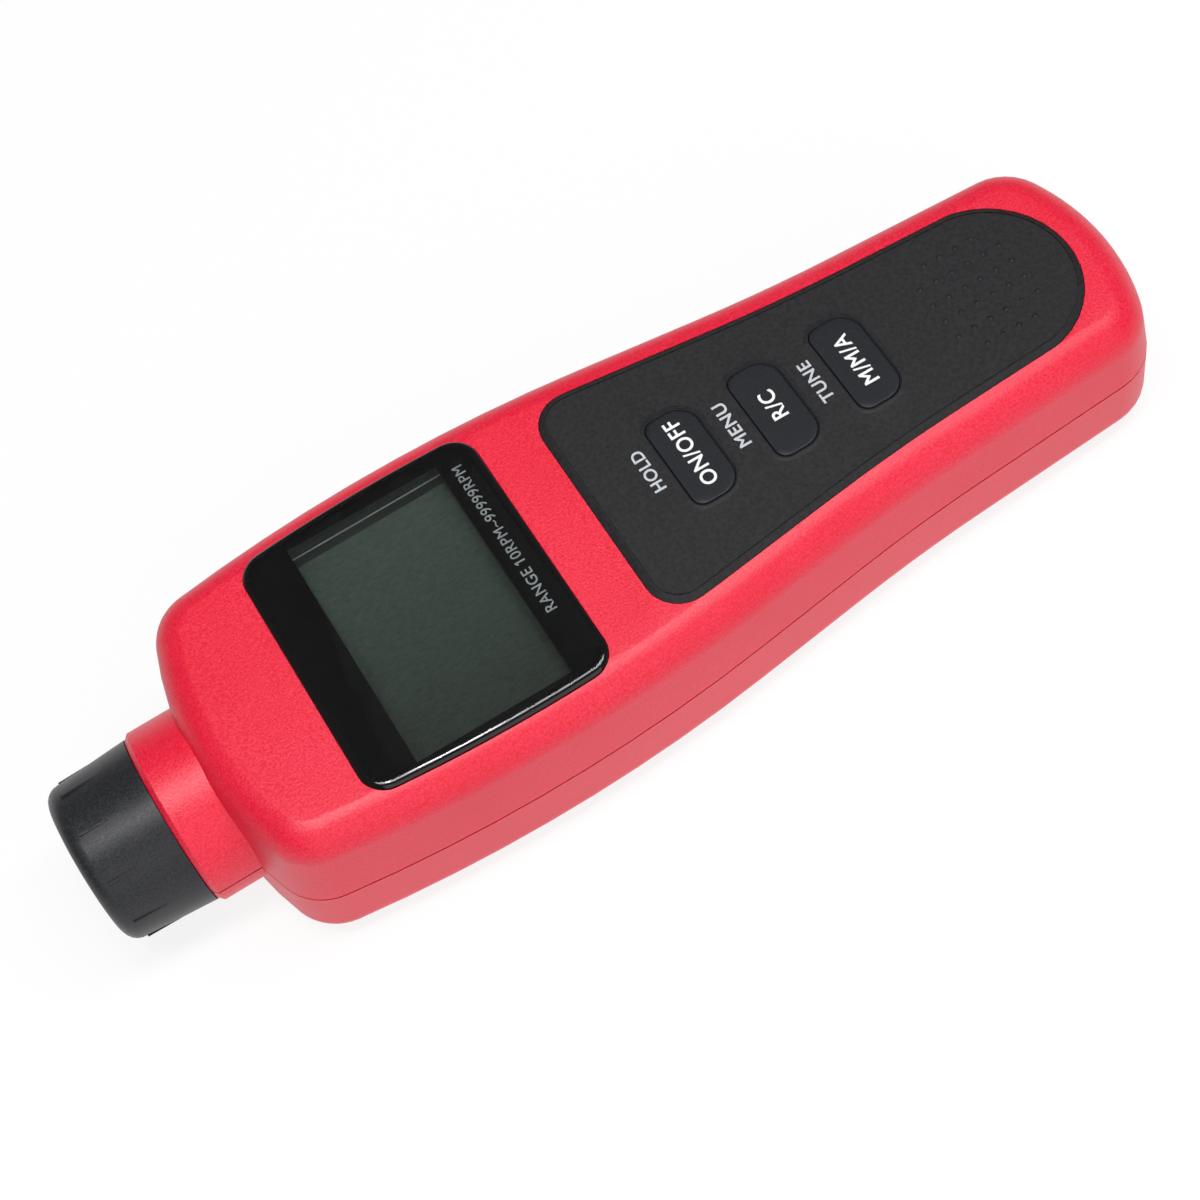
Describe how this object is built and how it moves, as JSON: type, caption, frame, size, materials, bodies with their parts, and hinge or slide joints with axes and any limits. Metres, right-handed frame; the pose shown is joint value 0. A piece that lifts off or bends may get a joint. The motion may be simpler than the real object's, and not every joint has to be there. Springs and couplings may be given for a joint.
{
  "type": "laser tachometer",
  "caption": "Handheld optical tachometer: two-shell moulded case with a round nose for the beam, display window, keypad inlay and sliding battery cover.",
  "frame": {"origin": "middle of the back that it rests on", "axes": "+X along the beam out of the nose, +Z out of the display"},
  "size_m": [0.1854, 0.056, 0.0333],
  "materials": {
    "red_plastic": "satin moulded plastic with a fine grain",
    "nose_plastic": "satin black plastic",
    "keypad_plastic": "fine matte black plastic",
    "key_rubber": "matte black",
    "window_clear": "glossy clear plastic",
    "window_print": "black print",
    "lcd_glass": "grey green display glass",
    "tray_plastic": "white plastic",
    "light_guide": "milky plastic",
    "zebra_rubber": "soft",
    "board": "green laminate",
    "chip_black": "matte",
    "steel": "plated",
    "brass": "turned",
    "lens_red": "dark red filter",
    "lens_clear": "clear lens",
    "battery_skin": "plain dark wrap",
    "lead_rubber": "soft"
  },
  "bodies": {
    "case": {"front_case": "red_plastic", "rear_case": "red_plastic", "nose_tube": "nose_plastic", "front_lens": "lens_red", "optics_holder": "chip_black", "laser_module": "brass", "receiver_lens": "lens_clear", "photo_sensor": "chip_black", "sensor_board": "board", "sensor_header": "chip_black", "display_window": "window_clear", "window_mask": "window_print", "lcd_panel": "lcd_glass", "lcd_backlight": "light_guide", "lcd_frame": "tray_plastic", "zebra_strip": "zebra_rubber", "keypad_panel": "keypad_plastic", "key_switches": "chip_black", "main_board": "board", "board_chips": "chip_black", "usb_socket": "steel", "battery_block": "battery_skin", "battery_snap": "chip_black", "battery_leads": "lead_rubber", "case_screws": "steel", "board_screws": "steel"},
    "battery_cover": {"battery_cover": "red_plastic"},
    "power_button": {"power_button": "key_rubber"},
    "count_button": {"count_button": "key_rubber"},
    "memory_button": {"memory_button": "key_rubber"}
  },
  "joints": [
    {"name": "power_press", "type": "slide", "parent": "case", "child": "power_button", "axis": [0, 0, -1], "range_m": [0, 0.0006], "stiffness_N_per_m": 400, "springref_m": -0.0015},
    {"name": "count_press", "type": "slide", "parent": "case", "child": "count_button", "axis": [0, 0, -1], "range_m": [0, 0.0006], "stiffness_N_per_m": 400, "springref_m": -0.0015},
    {"name": "memory_press", "type": "slide", "parent": "case", "child": "memory_button", "axis": [0, 0, -1], "range_m": [0, 0.0006], "stiffness_N_per_m": 400, "springref_m": -0.0015},
    {"name": "battery_cover_slide", "type": "slide", "parent": "case", "child": "battery_cover", "axis": [-1, 0, 0], "range_m": [0, 0.05]}
  ]
}
